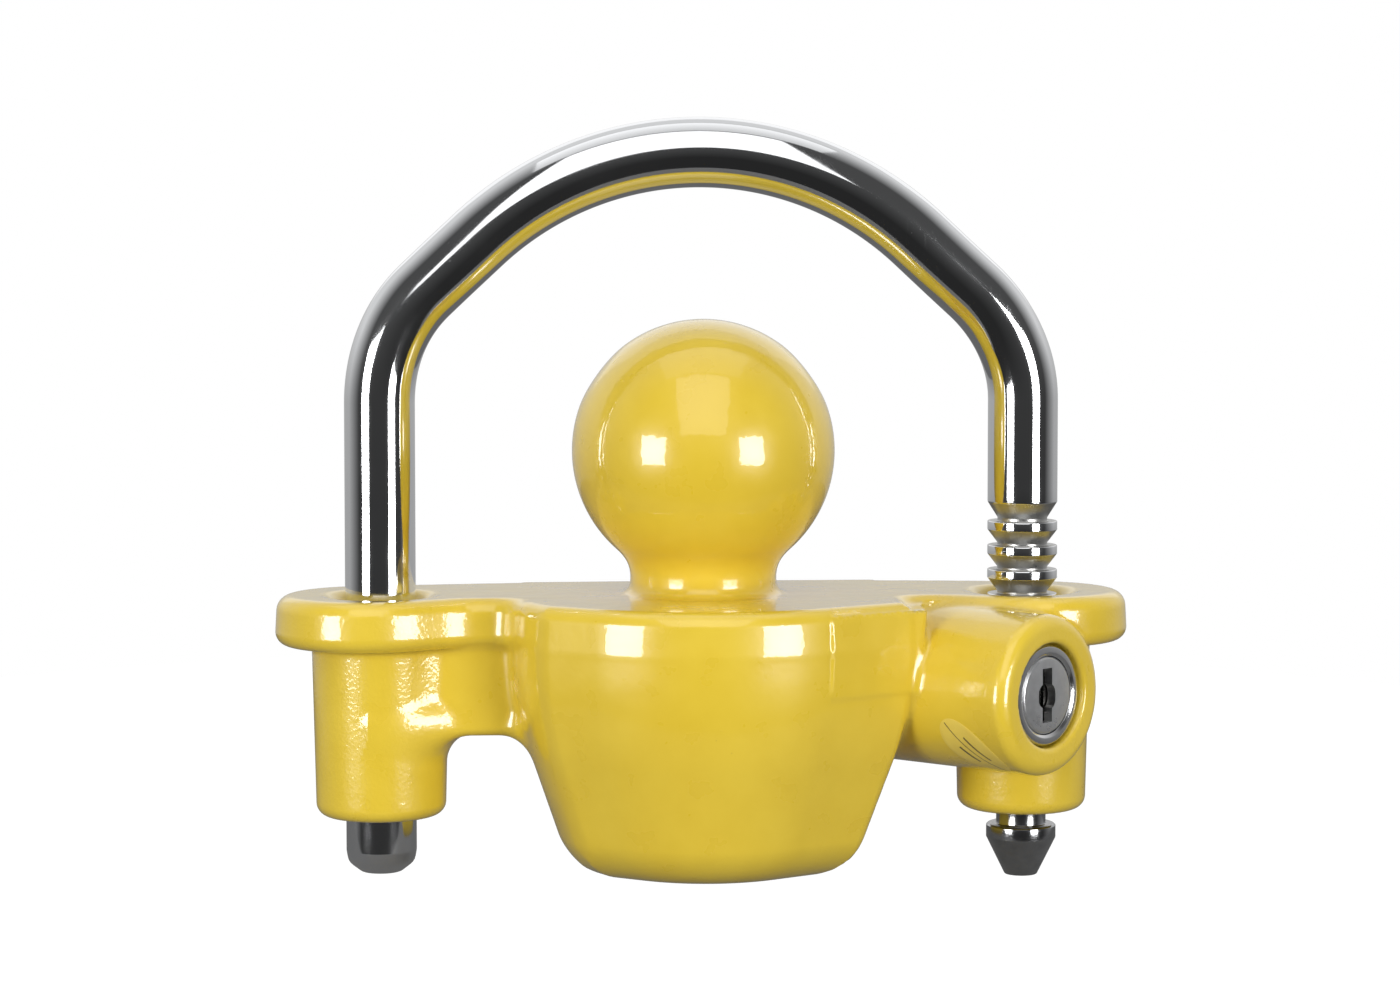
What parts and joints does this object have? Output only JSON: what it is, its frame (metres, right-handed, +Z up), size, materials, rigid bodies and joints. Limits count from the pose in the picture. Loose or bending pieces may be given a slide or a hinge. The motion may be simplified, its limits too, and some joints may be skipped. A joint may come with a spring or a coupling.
{
  "type": "trailer coupler lock",
  "caption": "Keyed lock for a trailer coupler: a cast body with a ball that fills the coupler socket, and a bent steel shackle whose grooved leg is caught by a sprung bolt.",
  "frame": {"origin": "centre of the flat underside of the cast body, on the ball's vertical axis", "axes": "+Z up the ball's axis, +X from the plain leg to the ratchet leg, -Y towards the side the key goes in from"},
  "size_m": [0.1546, 0.06, 0.1383],
  "materials": {
    "enamel": "glossy yellow enamel over cast metal, slight orange peel",
    "chrome_bar": "polished chrome plate, grooves left as turned",
    "chrome_shell": "chrome plated die casting",
    "satin_plug": "satin plated face",
    "wafer_nickel": "stamped nickel silver",
    "spring_steel": "drawn spring wire",
    "plain_steel": "machined steel",
    "label_film": "thin clear film label with a plain printed rule"
  },
  "bodies": {
    "casting": {"coupler_body": "enamel", "lock_shell": "chrome_shell", "chamber_cap": "plain_steel", "shell_roll_pin": "plain_steel", "inspection_label": "label_film", "bolt_spring": "spring_steel"},
    "shackle": {"shackle": "chrome_bar"},
    "plug": {"lock_plug": "satin_plug", "plug_clip": "plain_steel", "lock_cam": "plain_steel", "wafer_spring_1": "spring_steel", "wafer_spring_2": "spring_steel", "wafer_spring_3": "spring_steel", "wafer_spring_4": "spring_steel", "wafer_spring_5": "spring_steel"},
    "bolt": {"lock_bolt": "plain_steel"},
    "wafer_1": {"wafer_1": "wafer_nickel"},
    "wafer_2": {"wafer_2": "wafer_nickel"},
    "wafer_3": {"wafer_3": "wafer_nickel"},
    "wafer_4": {"wafer_4": "wafer_nickel"},
    "wafer_5": {"wafer_5": "wafer_nickel"}
  },
  "joints": [
    {"name": "shackle_slide", "type": "slide", "parent": "casting", "child": "shackle", "axis": [0, 0, 1], "range_m": [-0.02205, 0.06]},
    {"name": "key_turn", "type": "hinge", "parent": "casting", "child": "plug", "pos_m": [0.0599, -0.025, 0.0338], "axis": [-0.682, 0.7314, 0], "range_deg": [0, 90]},
    {"name": "bolt_slide", "type": "slide", "parent": "casting", "child": "bolt", "axis": [0.7314, 0.682, 0], "range_m": [0, 0.0019], "deforming": ["bolt_spring"]},
    {"name": "wafer_1_lift", "type": "slide", "parent": "plug", "child": "wafer_1", "axis": [0, 0, 1], "range_m": [0, 0.0006], "stiffness_N_per_m": 20, "deforming": ["wafer_spring_1"]},
    {"name": "wafer_2_lift", "type": "slide", "parent": "plug", "child": "wafer_2", "axis": [0, 0, 1], "range_m": [0, 0.0006], "deforming": ["wafer_spring_2"]},
    {"name": "wafer_3_lift", "type": "slide", "parent": "plug", "child": "wafer_3", "axis": [0, 0, 1], "range_m": [0, 0.0006], "deforming": ["wafer_spring_3"]},
    {"name": "wafer_4_lift", "type": "slide", "parent": "plug", "child": "wafer_4", "axis": [0, 0, 1], "range_m": [0, 0.0006], "deforming": ["wafer_spring_4"]},
    {"name": "wafer_5_lift", "type": "slide", "parent": "plug", "child": "wafer_5", "axis": [0, 0, 1], "range_m": [0, 0.0006], "deforming": ["wafer_spring_5"]}
  ],
  "couplings": [
    {"joint": "bolt_slide", "follows": "key_turn", "m_per_rad": 0.0011777},
    {"joint": "wafer_2_lift", "follows": "wafer_1_lift", "ratio": 0.8},
    {"joint": "wafer_3_lift", "follows": "wafer_1_lift", "ratio": 0.95},
    {"joint": "wafer_4_lift", "follows": "wafer_1_lift", "ratio": 0.7},
    {"joint": "wafer_5_lift", "follows": "wafer_1_lift", "ratio": 0.9}
  ]
}
